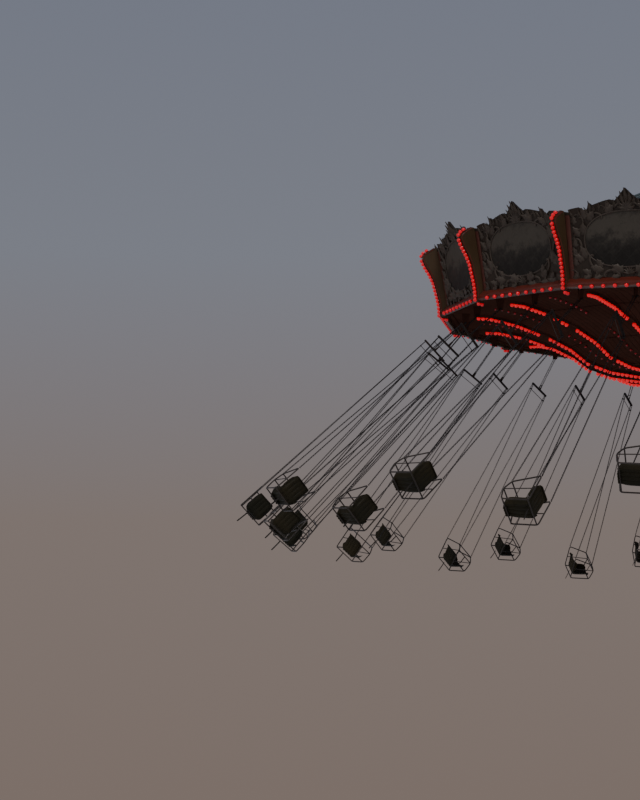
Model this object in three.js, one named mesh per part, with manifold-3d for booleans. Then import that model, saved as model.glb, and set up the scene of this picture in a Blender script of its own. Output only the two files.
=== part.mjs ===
// Chair swing ride: a round crown of sixteen ornamental sides on a telescopic mast,
// raised, leaning and turning, with thirty-two chairs flown out on their chains.
// Millimetres, +Z up, origin on the ground at the middle of the base.
import * as THREE from 'three';
import { mergeVertices } from 'three/addons/utils/BufferGeometryUtils.js';
import Module from 'manifold-3d';

const wasm = await Module();
wasm.setup();

// The pose that the ride is modelled in.
const RIM_HEIGHT = 9250; // middle of the crown's lower rim above the ground
const LEAN = THREE.MathUtils.degToRad(7.25); // the crown leans towards -Y
const CROWN_TURN = THREE.MathUtils.degToRad(152.5); // how far the crown has turned
const FLY_OUT = THREE.MathUtils.degToRad(45); // chairs from plumb, on average
const SWAY = THREE.MathUtils.degToRad(3); // every other chair flies out further by this, the rest less

// Crown.
const SIDES = 16;
const STEP = (2 * Math.PI) / SIDES;
const CORNER = 1 / Math.cos(STEP / 2); // corner radius over flat radius
const RIM_INSIDE = 5120; // flat radius inside the rim's moulding
const ROOF_EDGE = [5115, 700]; // flat radius and height of the roof's outer edge
const ROOF_SLOPE = 0.5; // rise of the roof over its flat radius
const ROOF_TOP_RADIUS = 520;
const ROOF_TOP = ROOF_EDGE[1] + ROOF_SLOPE * (ROOF_EDGE[0] - ROOF_TOP_RADIUS);
const SKIN = 25; // thickness of the ceiling and roof sheets
const PANEL = 45; // thickness of the carved panels
const RIB = 70; // thickness of the corner ribs
const SEAT_GAP = 0.3; // between pieces that touch

// Mast.
const PIVOT_BELOW_RIM = 600; // the lean pin below the rim plane, along the crown's axis
const PIVOT_HEIGHT = RIM_HEIGHT - PIVOT_BELOW_RIM * Math.cos(LEAN);
const MAST_SIZES = [1500, 1300, 1100]; // outside of the three square stages
const MAST_WALL = 50;
const MAST_SPANS = [[300, 4350], [2150, 6400], [4100, 8230]]; // foot and top of each stage
const SLIDE_GAP = 0.5; // between a guide pad and the tube that it slides in

// Chairs.
const CHAIRS = 32;
const HANG_RADIUS = 4850;
const HANG_BELOW_RIM = 110;
const SPREADER_DROP = 720; // hinge to the middle of the spreader bar
const ROD_DROP = 840; // hinge to the thin rod under the spreader bar
const CHAIN = 16; // width of a chain's plain bar
const CHAIR_WIDTH = 450;
const SEAT_DROP = 4930; // hinge to the seat

const paint = (color, roughness = 0.5, metalness = 0) =>
  new THREE.MeshStandardMaterial({ color, roughness, metalness });

const COLOURS = {
  steel: paint(0x5b5f63, 0.5, 0.6),
  base: paint(0x6b4a34, 0.6),
  deck: paint(0x7d7465, 0.7),
  cream: paint(0xb9a77c, 0.5),
  ceiling: paint(0x4a2a26, 0.6),
  ribs: paint(0x6d5c3a, 0.5),
  panels: paint(0x8a8468, 0.5),
  roof: paint(0x2f6d6e, 0.5),
  gold: paint(0xb08a3c, 0.35, 0.8),
  chairs: paint(0x3f463c, 0.5),
};

function solid(geometry) {
  geometry.deleteAttribute('normal');
  geometry.deleteAttribute('uv');
  const merged = mergeVertices(geometry, 1e-3);
  const corners = merged.index.array;
  const faces = [];
  for (let i = 0; i < corners.length; i += 3) {
    const [a, b, c] = corners.slice(i, i + 3);
    if (a !== b && b !== c && c !== a) {
      faces.push(a, b, c);
    }
  }
  return new wasm.Manifold(new wasm.Mesh({
    numProp: 3,
    vertProperties: new Float32Array(merged.attributes.position.array),
    triVerts: new Uint32Array(faces),
  }));
}

function join(...solids) {
  return solids.reduce((sum, next) => sum.add(next));
}

function geometryOf(body) {
  const mesh = body.getMesh();
  const geometry = new THREE.BufferGeometry();
  const places = new Float32Array(mesh.numVert * 3);
  for (let i = 0; i < mesh.numVert; i += 1) {
    places.set(mesh.vertProperties.subarray(i * mesh.numProp, i * mesh.numProp + 3), i * 3);
  }
  geometry.setAttribute('position', new THREE.BufferAttribute(places, 3));
  geometry.setIndex(new THREE.BufferAttribute(new Uint32Array(mesh.triVerts), 1));
  return geometry;
}

function addPart(parent, name, body, material) {
  const mesh = new THREE.Mesh(geometryOf(body), material);
  mesh.name = name;
  parent.add(mesh);
  return mesh;
}

function box(width, depth, height, x, y, z) {
  return solid(new THREE.BoxGeometry(width, depth, height).translate(x, y, z));
}

// A cylinder or cone standing on z0.
function drum(radiusLow, radiusHigh, z0, z1, sides = 32) {
  const shape = new THREE.CylinderGeometry(radiusHigh, radiusLow, z1 - z0, sides);
  return solid(shape.rotateX(Math.PI / 2).translate(0, 0, (z0 + z1) / 2));
}

// A [radius, height] profile, counter-clockwise, turned about Z with a corner at azimuth 0. It
// starts and ends on the axis, or is closed.
function turned(profile, sides) {
  const onAxis = profile[0][0] === 0;
  const points = (onAxis ? profile : [...profile, profile[0]]).map(([r, z]) => new THREE.Vector2(r, z));
  return solid(new THREE.LatheGeometry(points, sides).rotateX(Math.PI / 2));
}

// A flat outline, with its holes, pulled up from z0 to z1.
function slab(outline, z0, z1, holes = []) {
  const shape = new THREE.Shape(outline.map(([x, y]) => new THREE.Vector2(x, y)));
  shape.holes = holes.map((hole) => new THREE.Path(hole.map(([x, y]) => new THREE.Vector2(x, y))));
  const pulled = new THREE.ExtrudeGeometry(shape, { depth: z1 - z0, bevelEnabled: false });
  return solid(pulled.translate(0, 0, z0));
}

// An outline in the radial plane, [radius, height], of the given thickness across that plane.
function fin(outline, thickness, azimuth, holes = []) {
  const plate = slab(outline, -thickness / 2, thickness / 2, holes);
  return plate.rotate([90, 0, THREE.MathUtils.radToDeg(azimuth)]);
}

// The corners of a square about the axis.
function square(size) {
  const half = size / 2;
  return [[-half, -half], [half, -half], [half, half], [-half, half]];
}

const ride = new THREE.Group();
const crownLift = new THREE.Group();
ride.add(crownLift);

// Base: eight ground beams with pads, a stepped plinth and the house round the mast's foot.
const BEAM_REACH = 3500;
const beams = [];
for (let i = 0; i < 8; i += 1) {
  const beam = box(BEAM_REACH, 220, 200, BEAM_REACH / 2, 0, 120);
  const pad = box(420, 420, 40, BEAM_REACH - 110, 0, 20);
  beams.push(join(beam, pad).rotate([0, 0, i * 45]));
}
addPart(ride, 'base_frame', join(...beams, drum(1075, 1075, 0, 299.7, 16)), COLOURS.steel);

const DECK_TOP = 420;
const deck = turned([[1110, 220.3], [2500, 220.3], [2500, DECK_TOP], [1110, DECK_TOP]], SIDES);
addPart(ride, 'base_plinth', deck, COLOURS.deck);

const HOUSE = 1550;
const HOUSE_TOP = 3300;
const HOUSE_WALL = 40;
const house = turned([
  [HOUSE - HOUSE_WALL, DECK_TOP + SEAT_GAP],
  [HOUSE + 60, DECK_TOP + SEAT_GAP],
  [HOUSE + 60, 620],
  [HOUSE, 660],
  [HOUSE, HOUSE_TOP - 250],
  [HOUSE + 110, HOUSE_TOP - 60],
  [HOUSE + 110, HOUSE_TOP],
  [HOUSE - HOUSE_WALL, HOUSE_TOP],
], SIDES);
addPart(ride, 'centre_house', house, COLOURS.cream);

const hood = turned([
  [1130, 3860],
  [1130, 3820],
  [1300, 3560],
  [HOUSE + 20, HOUSE_TOP + SEAT_GAP],
  [HOUSE + 90, HOUSE_TOP + SEAT_GAP],
  [1360, 3580],
  [1190, 3860],
], SIDES);
addPart(ride, 'house_roof', hood, COLOURS.roof);

// Mast: three square tubes. The outer one is fixed, the others slide up inside it.
function mastTube(stage) {
  const [z0, z1] = MAST_SPANS[stage];
  const size = MAST_SIZES[stage];
  return slab(square(size), z0, z1, [square(size - 2 * MAST_WALL)]);
}

function guidePads(stage) {
  const [z0] = MAST_SPANS[stage];
  const reach = MAST_SIZES[stage - 1] / 2 - MAST_WALL - SLIDE_GAP;
  const half = MAST_SIZES[stage] / 2;
  const pads = [];
  for (const height of [z0 + 100, z0 + 1700]) {
    for (let i = 0; i < 4; i += 1) {
      const pad = box(reach - half + 10, 260, 160, (reach + half - 10) / 2, 0, height);
      pads.push(pad.rotate([0, 0, i * 90]));
    }
  }
  return join(...pads);
}

addPart(ride, 'mast_outer', mastTube(0), COLOURS.steel);
const middleCollar = slab(square(1400), 6300, 6400, [square(1250)]);
addPart(ride, 'mast_middle', join(mastTube(1), guidePads(1), middleCollar), COLOURS.cream);

const PIN = 60;
const HEAD_PLATE_TOP = 8290;
const headPlate = slab(square(1360), 8230, HEAD_PLATE_TOP);
const ears = [-1, 1].map((side) => {
  const ear = slab(
    [[-260, HEAD_PLATE_TOP - 10], [260, HEAD_PLATE_TOP - 10], [130, PIVOT_HEIGHT + 130],
      [-130, PIVOT_HEIGHT + 130]],
    -30,
    30,
  ).rotate([90, 0, 90]);
  return ear.translate([side * 480, 0, 0]);
});
const PIN_HOLE = PIN + 1.1;
const pinHole = drum(PIN_HOLE, PIN_HOLE, -700, 700, 24)
  .rotate([0, 90, 0])
  .translate([0, 0, PIVOT_HEIGHT]);
const inner = join(mastTube(2), guidePads(2), headPlate, ...ears).subtract(pinHole);
addPart(ride, 'mast_inner', inner, COLOURS.cream);

// Lean head: swings on its pin across the ears and carries the slewing ring.
const head = new THREE.Group();
head.position.z = PIVOT_HEIGHT;
head.rotation.x = LEAN;
ride.add(head);
const HEAD_TOP = 420;
const lugs = [-1, 1].map((side) => box(60, 260, 340, side * 400, 0, 40));
const pin = drum(PIN, PIN, -540, 540, 24).rotate([0, 90, 0]);
const leanHead = join(drum(560, 560, 190, HEAD_TOP, 32), ...lugs, pin);
addPart(head, 'lean_head', leanHead, COLOURS.steel);

// Crown: everything that turns on the lean head. Its own origin is the middle of the rim plane.
const crown = new THREE.Group();
crown.position.z = PIVOT_BELOW_RIM;
crown.rotation.z = CROWN_TURN;
head.add(crown);

const HUB_FOOT = HEAD_TOP - PIVOT_BELOW_RIM + SLIDE_GAP;
const HUB_TOP = 700;
const HUB_RADIUS = 620;
const KING_POST = 200;
const CAP_RADIUS = 500; // cap of the king post under the roof, and the finial's foot
const hub = join(
  drum(HUB_RADIUS, HUB_RADIUS, HUB_FOOT, HUB_TOP, 32),
  drum(KING_POST, KING_POST, HUB_TOP - 10, ROOF_TOP - 60, 16),
  drum(KING_POST, CAP_RADIUS, ROOF_TOP - 200, ROOF_TOP - SKIN - SEAT_GAP, 16),
);
addPart(crown, 'crown_hub', hub, COLOURS.steel);

// The underside's line from the rim to the hub, [corner radius, height].
const UNDERSIDE = [
  [(RIM_INSIDE - SEAT_GAP) * CORNER, 46], [4420, 45], [3950, -45], [3400, -225], [3000, -405],
  [2700, -620], [2290, -745], [1820, -790], [1500, -800],
];
const above = (points, rise) => points.map(([r, z]) => [r, z + rise]);
const ceilingSheet = (thickness) => (
  turned([...UNDERSIDE].reverse().concat(above(UNDERSIDE, thickness)), SIDES)
);
const rails = [];
const RAIL = 60;
const RAIL_DEPTH = 35;
for (let i = 0; i < SIDES; i += 1) {
  const line = UNDERSIDE.filter(([r]) => r < 5000);
  const outline = [...above(line, -RAIL_DEPTH)].reverse().concat(above(line, 5));
  rails.push(fin(outline, RAIL, i * STEP));
}
const lugsOfChairs = [];
for (let i = 0; i < CHAIRS; i += 1) {
  const azimuth = (i * 2 * Math.PI) / CHAIRS;
  lugsOfChairs.push(fin(
    [
      [HANG_RADIUS - 45, -HANG_BELOW_RIM - 20],
      [HANG_RADIUS + 45, -HANG_BELOW_RIM - 20],
      [HANG_RADIUS + 70, 60],
      [HANG_RADIUS - 70, 60],
    ],
    24,
    azimuth,
  ));
}
addPart(crown, 'ceiling', join(ceilingSheet(SKIN), ...rails, ...lugsOfChairs), COLOURS.ceiling);

// The panels' face from foot to crest, [flat radius, height]. They stand on the ceiling's edge,
// behind the rim's moulding, and lean outwards, most of all at the top.
const PANEL_LINE = [
  [5075, UNDERSIDE[0][1] + SKIN + SEAT_GAP], [5165, 530], [5228, 790], [5290, 1060], [5332, 1180],
  [5450, 1440],
];
const wall = PANEL_LINE.map(([r, z]) => [r * CORNER, z]);
const back = PANEL_LINE.map(([r, z]) => [(r - PANEL) * CORNER, z]);

// Sweeps: sixteen arms over the ceiling, from the hub to the rim, with a ring near their ends. Each
// ends in a bracket that stands against the panels and carries the roof's edge.
const ARM = 60;
const ARM_SIDE = (ARM / 2) * Math.tan(STEP / 2); // how far a corner draws in at an arm's side
const [BRACKET_FOOT, BRACKET_END] = back.map(([r]) => r - ARM_SIDE - SEAT_GAP);
const BRACKET_UPRIGHT = PANEL_LINE[1][1];
const underRoof = (r) => (
  ROOF_EDGE[1] - SKIN - SEAT_GAP + (ROOF_SLOPE / CORNER) * (ROOF_EDGE[0] * CORNER - ARM_SIDE - r)
);
const BRACKET_INSIDE = 5040;
const RING_INSIDE = HUB_RADIUS + SEAT_GAP;
const RING_OUTSIDE = 740;
const arms = [];
for (let i = 0; i < SIDES; i += 1) {
  const low = above(UNDERSIDE.filter(([r]) => r < 4900), SKIN - 12);
  const outline = [
    [4900, 70], [5030, 72], [BRACKET_FOOT, 76], [BRACKET_END, BRACKET_UPRIGHT],
    [BRACKET_END, underRoof(BRACKET_END)],
    [BRACKET_INSIDE, underRoof(BRACKET_INSIDE)], [4800, 340], [700, 640], [700, -120], [1500, -420],
  ].concat([...low].reverse());
  arms.push(fin(outline, ARM, i * STEP));
}
const hubRing = turned([
  [RING_INSIDE, -120], [RING_OUTSIDE, -120], [RING_OUTSIDE, 640], [RING_INSIDE, 640],
], 32);
const endRing = turned([[4800, 80], [4880, 80], [4880, 250], [4800, 250]], SIDES);
const sweeps = join(hubRing, endRing, ...arms).subtract(ceilingSheet(SKIN + SEAT_GAP));
addPart(crown, 'sweeps', sweeps, COLOURS.steel);

// Rim: the moulding before the panels' foot, with a rib standing on each corner. A rib's outer edge
// sweeps out to a blunt nose near its top, and its foot turns in under the moulding.
const MOULDING_TOP = 75;
const moulding = turned([
  [RIM_INSIDE * CORNER, -14], [5155 * CORNER, -22], [5180 * CORNER, -8], [5180 * CORNER, 30],
  [5168 * CORNER, MOULDING_TOP], [RIM_INSIDE * CORNER, MOULDING_TOP],
], SIDES);
const RIB_TOP = 1150;
const RIB_OUTSIDE = [
  [5150, -14], [5150, -44], [5262, -38], [5284, -12], [5290, 80], [5312, 200], [5340, 300],
  [5378, 420], [5420, 550], [5492, 690], [5598, 840], [5642, 930], [5652, 985], [5620, 1040],
  [5540, 1100], [5470, RIB_TOP], [5428, RIB_TOP],
];
const ribInside = wall.filter(([, z]) => z < RIB_TOP).reverse()
  .map(([r, z]) => [r + 2 * SEAT_GAP, z])
  .concat([[RIM_INSIDE * CORNER + 2, wall[0][1]], [RIM_INSIDE * CORNER + 2, 0]]);
const ribs = [];
for (let i = 0; i < SIDES; i += 1) {
  ribs.push(fin([...RIB_OUTSIDE, ...ribInside], RIB, i * STEP));
}
addPart(crown, 'rim_and_ribs', join(moulding, ...ribs), COLOURS.ribs);

// Panels: a ring of sixteen curved faces, its top edge cut to the carved cresting. CREST is half of
// one side's top edge, [across, height], from past the corner to the middle.
const CREST = [
  [1150, 1130], [900, 1180], [780, 1195], [665, 1140], [605, 1250], [560, 1215], [380, 1262],
  [270, 1280], [185, 1262], [95, 1335], [0, 1430],
];
const crestLine = CREST.concat([...CREST].reverse().slice(1).map(([u, v]) => [-u, v]));
const aboveCrest = crestLine.concat([[-1150, 1700], [1150, 1700]]);
const cutters = [];
for (let i = 0; i < SIDES; i += 1) {
  const cutter = slab(aboveCrest, 0, 900).rotate([90, 0, 90]).translate([4900, 0, 0]);
  cutters.push(cutter.rotate([0, 0, THREE.MathUtils.radToDeg((i + 0.5) * STEP)]));
}
const panels = turned([...wall, ...[...back].reverse()], SIDES).subtract(join(...cutters));
addPart(crown, 'crest_panels', panels, COLOURS.panels);

// Roof: a sixteen-sided cone behind the cresting, open under the finial.
const roofLine = [ROOF_EDGE, [ROOF_TOP_RADIUS, ROOF_TOP], [300, ROOF_TOP]]
  .map(([r, z]) => [r * CORNER, z]);
const roofSheet = turned([...roofLine, ...above([...roofLine].reverse(), -SKIN)], SIDES);
addPart(crown, 'roof', roofSheet, COLOURS.roof);

const finial = turned(above([
  [0, 0], [CAP_RADIUS, 0], [CAP_RADIUS, 50], [330, 125], [220, 255], [300, 395], [270, 525],
  [130, 625], [80, 715], [0, 835],
], ROOF_TOP + SEAT_GAP), 24);
addPart(crown, 'finial', finial, COLOURS.gold);

// One chair hanging straight down from its hinge, facing -Y. Each side is one flat frame: a front
// and a back chain from the end of the spreader bar, and the hoop that they hold.
const SIDE_FRAME = [
  [0, SEAT_DROP - SPREADER_DROP], [-190, 330], [-265, 180], [-215, -35], [215, -40], [225, 470],
];
const SIDE_OPENING = [
  [0, SEAT_DROP - SPREADER_DROP - 380], [-170, 322], [-240, 176], [-202, -12], [197, -15], [206, 465],
];

function chair() {
  const side = CHAIR_WIDTH / 2;
  const pieces = [];
  for (const y of [-20.5, 20.5]) {
    pieces.push(box(CHAIN, CHAIN, SPREADER_DROP + 20, 0, y, -SPREADER_DROP / 2 + 10));
  }
  pieces.push(box(CHAIR_WIDTH + 50, 60, 46, 0, 0, -SPREADER_DROP));
  const frame = slab(SIDE_FRAME, -10, 10, [SIDE_OPENING]).rotate([90, 0, 90]);
  for (const s of [-1, 1]) {
    pieces.push(frame.translate([s * side, 0, -SEAT_DROP]));
  }
  pieces.push(box(CHAIR_WIDTH, CHAIN, CHAIN, 0, 0, -ROD_DROP));
  pieces.push(box(CHAIR_WIDTH, 26, 26, 0, -248, -SEAT_DROP + 180));
  const SHELL = [[198, 420], [165, 10], [-200, 0], [-200, -25], [185, -22], [220, 420]];
  const shell = slab(SHELL, -side, side);
  pieces.push(shell.rotate([90, 0, 90]).translate([0, 0, -SEAT_DROP]));
  return join(...pieces);
}

const chairBody = chair();
for (let i = 0; i < CHAIRS; i += 1) {
  const azimuth = (i * 2 * Math.PI) / CHAIRS;
  const stand = new THREE.Group();
  stand.position.set(HANG_RADIUS * Math.cos(azimuth), HANG_RADIUS * Math.sin(azimuth), -HANG_BELOW_RIM);
  stand.rotation.z = azimuth;
  crown.add(stand);
  const mesh = addPart(stand, `chair_${String(i + 1).padStart(2, '0')}`, chairBody, COLOURS.chairs);
  const fromLowSide = azimuth + CROWN_TURN + Math.PI / 2;
  const sway = i % 2 === 0 ? SWAY : -SWAY;
  mesh.rotation.y = -(FLY_OUT + sway + LEAN * Math.cos(fromLowSide));
}

export default ride;
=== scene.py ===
"""Chair swing ride: the looks of a raised, leaning crown with thirty-two chairs flown out."""
import math

import bpy
from mathutils import Matrix, Vector


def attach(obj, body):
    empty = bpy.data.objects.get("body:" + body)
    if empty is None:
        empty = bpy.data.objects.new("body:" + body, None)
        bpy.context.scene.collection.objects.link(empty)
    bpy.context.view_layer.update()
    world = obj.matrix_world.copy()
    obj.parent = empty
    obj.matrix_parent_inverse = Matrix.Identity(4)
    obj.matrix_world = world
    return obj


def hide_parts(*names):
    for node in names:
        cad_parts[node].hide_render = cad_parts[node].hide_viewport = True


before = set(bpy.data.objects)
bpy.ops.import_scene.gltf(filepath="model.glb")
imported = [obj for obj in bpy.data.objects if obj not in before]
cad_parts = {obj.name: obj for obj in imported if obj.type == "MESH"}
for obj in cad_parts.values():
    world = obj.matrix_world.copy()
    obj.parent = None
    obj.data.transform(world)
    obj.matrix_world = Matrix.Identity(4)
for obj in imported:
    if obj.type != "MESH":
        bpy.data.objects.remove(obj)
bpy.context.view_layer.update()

# The view
# The camera stands on the ground at eye height, well outside the ride, and looks up at the left
# part of the crown through a long lens. The floor is a wide pale disc under an even evening sky.
CAMERA_AT = Vector((-21.520, -23.654, 1.600))
LOOK = Vector((0.47564, 0.85547, 0.20480))
UP = Vector((-0.09952, -0.17899, 0.97880))
FLOOR_RADIUS = 150
# Each lamp of the studio: its aim, its strength and its spread in degrees.
SUNS = {
    "key": ((0.35, 0.75, -0.75), 1.0, 25),
    "fill": ((0.9, -0.2, -0.35), 0.4, 60),
    "low": ((0.45, 0.8, 0.35), 0.15, 80),
}

lens = bpy.data.cameras.new("camera")
lens.sensor_width = 36.0
lens.lens = 83.34
lens.clip_end = 400.0
camera = bpy.data.objects.new("camera", lens)
bpy.context.scene.collection.objects.link(camera)
bpy.context.scene.camera = camera
side = LOOK.cross(UP).normalized()
aim = Matrix((side, side.cross(LOOK).normalized(), -LOOK.normalized())).transposed()
camera.matrix_world = Matrix.Translation(CAMERA_AT) @ aim.to_4x4()

bpy.ops.object.select_all(action="DESELECT")
bpy.ops.mesh.primitive_circle_add(vertices=96, radius=FLOOR_RADIUS, fill_type="NGON",
                                  location=(0, 0, -0.002))
floor = bpy.context.object
floor.name = "floor"


def linear(code):
    """The linear value of an sRGB hex colour."""
    parts = [int(code[i:i + 2], 16) / 255 for i in (1, 3, 5)]
    return (*(c / 12.92 if c <= 0.04045 else ((c + 0.055) / 1.055) ** 2.4 for c in parts), 1)


def output_of(source):
    """A node's first output, or the socket itself."""
    return source.outputs[0] if isinstance(source, bpy.types.Node) else source


def add_node(tree, kind, settings=None):
    """A new node: its properties and sockets set to values or hex colours, or linked to a source."""
    made = tree.nodes.new("ShaderNode" + kind)
    for key, value in (settings or {}).items():
        if isinstance(value, (bpy.types.Node, bpy.types.NodeSocket)):
            tree.links.new(output_of(value), made.inputs[key])
        elif isinstance(key, str) and hasattr(made, key):
            setattr(made, key, value)
        else:
            made.inputs[key].default_value = linear(value) if isinstance(value, str) else value
    return made


# A little warm at the horizon, cool and slightly darker higher up.
sky = bpy.data.worlds.new("sky")
sky.use_nodes = True
towards = add_node(sky.node_tree, "TexCoord").outputs["Generated"]
height = add_node(sky.node_tree, "SeparateXYZ", {0: towards}).outputs["Z"]
wash = add_node(sky.node_tree, "ValToRGB", {0: height})
bands = wash.color_ramp.elements
bands[0].position, bands[0].color = 0.0, linear("#7d7069")
bands[1].position, bands[1].color = 0.55, linear("#6d7385")
bands.new(0.14).color = linear("#7f746f")
bands.new(0.28).color = linear("#7b7e88")
sky.node_tree.links.new(wash.outputs["Color"], sky.node_tree.nodes["Background"].inputs["Color"])
bpy.context.scene.world = sky
for name, (aim, power, spread) in SUNS.items():
    bpy.ops.object.light_add(type="SUN", location=(0, 0, 20))
    sun = bpy.context.object
    sun.name = name
    sun.data.energy = power
    sun.data.angle = math.radians(spread)
    sun.rotation_euler = Vector(aim).to_track_quat("-Z", "Y").to_euler()

# Ground frame
# Eight welded box beams on pads carry the ride. They are hot-rolled steel under grey machinery
# paint, dusty and chipped, and each beam's end is levelled by a screw jack with a cross handle.
JACK_RADIUS = 3.39
JACK_FOOT = 0.246
# Each step of the jack's turned shape goes in (or out) and up.
JACK_STEPS = ((0.028, 0.05), (0.0, 0.17), (-0.022, 0.0), (0.0, 0.06), (0.012, 0.012))
HANDLE_HEIGHT = 0.505
QUARTER = math.pi / 2


def new_material(name, **settings):
    """A material, the sockets of its shader set by name, with low lines for spaces."""
    made = bpy.data.materials.new(name)
    made.use_nodes = True
    for key, value in settings.items():
        made.node_tree.nodes["Principled BSDF"].inputs[key.replace("_", " ")].default_value = value
    return made


def feed(tree, socket, source):
    """Links a node or a socket to the shader."""
    tree.links.new(output_of(source), tree.nodes["Principled BSDF"].inputs[socket])


def aged_paint(name, fresh, faded, grime, gloss=0.45, metal=0.0, streaks=0.5, chips=None, place=None,
               shine=0.22):
    """Brushed enamel: broad fading, rain streaks down the piece, fine dust and a little relief.

    A film of dust takes most of the enamel's shine."""
    made = new_material(name, Metallic=metal, Specular_IOR_Level=shine)
    tree = made.node_tree
    where = add_node(tree, "TexCoord", {"name": "where"}).outputs["Object"]
    if place:
        where = place(tree, where)
    # Fading in patches about a metre across, streaks 60 mm wide and a metre long, and dust in
    # spots of 20 mm, coarser than real so that it shows.
    patches = add_node(tree, "TexNoise", {"Scale": 1.1, "Detail": 5, "Vector": where})
    tall = add_node(tree, "Mapping", {"Scale": (9.0, 9.0, 0.9), "Vector": where})
    runs = add_node(tree, "TexNoise", {"Scale": 1.8, "Detail": 6, "Roughness": 0.62, "Vector": tall})
    dust = add_node(tree, "TexNoise", {"Scale": 46, "Detail": 6, "Roughness": 0.7, "Vector": where})
    fade = add_node(tree, "MapRange", {0: patches, 1: 0.35, 2: 0.68})
    coat = add_node(tree, "Mix", {"data_type": "RGBA", 0: fade, 6: fresh, 7: faded})
    dirty = add_node(tree, "MapRange", {0: runs, 1: 0.5, 2: 0.78, 4: streaks})
    film = add_node(tree, "MapRange", {0: dust, 1: 0.45, 2: 0.8, 4: 0.35})
    soil = add_node(tree, "Math", {"operation": "MAXIMUM", 0: dirty, 1: film})
    soiled = add_node(tree, "Mix", {"data_type": "RGBA", 0: soil, 6: coat.outputs[2], 7: grime})
    colour = soiled.outputs[2]
    if chips:
        # Chips a few centimetres across where the coat has gone to what lies under it.
        flakes = add_node(tree, "TexNoise", {"Scale": 13, "Detail": 9, "Roughness": 0.75, "Vector": where})
        gone = add_node(tree, "MapRange", {0: flakes, 1: 0.665, 2: 0.68})
        colour = add_node(tree, "Mix", {"data_type": "RGBA", 0: gone, 6: colour, 7: chips}).outputs[2]
    feed(tree, "Base Color", colour)
    feed(tree, "Roughness",
         add_node(tree, "MapRange", {0: soil, 3: gloss - 0.08, 4: min(gloss + 0.3, 0.95)}))
    feed(tree, "Normal", add_node(tree, "Bump", {"Strength": 0.25, "Distance": 0.002, "Height": dust}))
    return made


def finished(piece, finish):
    """The piece in one finish."""
    piece.data.materials.clear()
    piece.data.materials.append(finish)
    return piece


def paint_node(name, finish):
    """Gives a CAD piece its finish."""
    finished(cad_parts[name], finish)


def at(x, y, z):
    """A shift."""
    return Matrix.Translation((x, y, z))


def about(axis, angle):
    """A turn about an axis through the origin."""
    return Matrix.Rotation(angle, 4, axis)


def primitive(add, **settings):
    """A mesh primitive made with nothing else selected, its placement applied."""
    bpy.ops.object.select_all(action="DESELECT")
    add(**settings)
    bpy.ops.object.transform_apply(location=True, rotation=True, scale=True)
    return bpy.context.object


def select_only(piece):
    """Makes the piece the only selected one, and the active one."""
    bpy.ops.object.select_all(action="DESELECT")
    piece.select_set(True)
    bpy.context.view_layer.objects.active = piece


def modified(piece, kind, **settings):
    """The piece with a modifier applied to it."""
    select_only(piece)
    change = piece.modifiers.new(kind.lower(), kind)
    for key, value in settings.items():
        setattr(change, key, value)
    bpy.ops.object.modifier_apply(modifier=change.name)
    return piece


def soften(piece, width, segments=1):
    """Rounds the piece's sharp edges by a width in metres."""
    return modified(piece, "BEVEL", width=width, segments=segments, limit_method="ANGLE",
                    angle_limit=math.radians(38))


def pick_face(piece, axis=2):
    """Opens edit mode with only the face that looks along an axis selected."""
    bpy.ops.object.mode_set(mode="EDIT")
    bpy.ops.mesh.select_all(action="DESELECT")
    bpy.ops.object.mode_set(mode="OBJECT")
    next(f for f in piece.data.polygons if f.normal[axis] > 0.9).select = True
    bpy.ops.object.mode_set(mode="EDIT")


def grow_face(piece, steps, axis=2):
    """Steps the face along an axis in and out: each step is its inset, its rise and its finish."""
    pick_face(piece, axis)
    for inset, rise, *finish in steps:
        bpy.ops.mesh.inset(thickness=abs(inset), use_outset=inset < 0)
        bpy.ops.mesh.extrude_region_move(
            TRANSFORM_OT_translate={"value": [rise * (k == axis) for k in range(3)]})
        if finish:
            piece.active_material_index = finish[0]
            bpy.ops.object.material_slot_assign()
    bpy.ops.object.mode_set(mode="OBJECT")


def copy_of(piece, move):
    """A copy with its own mesh, moved by a matrix."""
    made = piece.copy()
    made.data = piece.data.copy()
    made.data.transform(move)
    bpy.context.scene.collection.objects.link(made)
    return made


def join(pieces, name):
    """Several pieces as one object."""
    bpy.ops.object.select_all(action="DESELECT")
    for piece in pieces:
        piece.select_set(True)
    bpy.context.view_layer.objects.active = pieces[0]
    bpy.ops.object.join()
    made = bpy.context.object
    made.name = made.data.name = name
    return made


def copies(piece, moves, name):
    """The piece at each of the moves, as one object in its place."""
    made = join([copy_of(piece, move) for move in moves], name)
    bpy.data.objects.remove(piece)
    return made


def round_about(piece, count, name, first=0.0, frame_of=Matrix.Identity(4)):
    """The piece repeated about the vertical axis, as one object."""
    step = 2 * math.pi / count
    return copies(piece, [frame_of @ about("Z", first + i * step) for i in range(count)], name)


def fix_to(piece, body, finish=None, angle=35):
    """Shades the piece, gives it its finish and fixes it to a body."""
    select_only(piece)
    bpy.ops.object.transform_apply(location=True, rotation=True, scale=True)
    bpy.ops.object.shade_smooth_by_angle(angle=math.radians(angle))
    if finish:
        finished(piece, finish)
    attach(piece, body)


# Brushed enamel on steel: an even, half-matt grey, rubbed pale, with rust at its chips.
machine_paint = aged_paint("machinery enamel", "#5b5d5c", "#77766f", "#3b342b", 0.5, chips="#6a4a33")
for name in ("base_frame", "lean_head", "crown_hub", "sweeps", "mast_outer"):
    paint_node(name, machine_paint)

jack = primitive(bpy.ops.mesh.primitive_cylinder_add, vertices=16, radius=0.062, depth=0.05,
                 location=(JACK_RADIUS, 0, JACK_FOOT))
grow_face(jack, JACK_STEPS)
handle = primitive(bpy.ops.mesh.primitive_cylinder_add, vertices=10, radius=0.012, depth=0.44,
                   location=(JACK_RADIUS, 0, HANDLE_HEIGHT), rotation=(0, QUARTER, 0.5))
soften(handle, 0.004)
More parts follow.
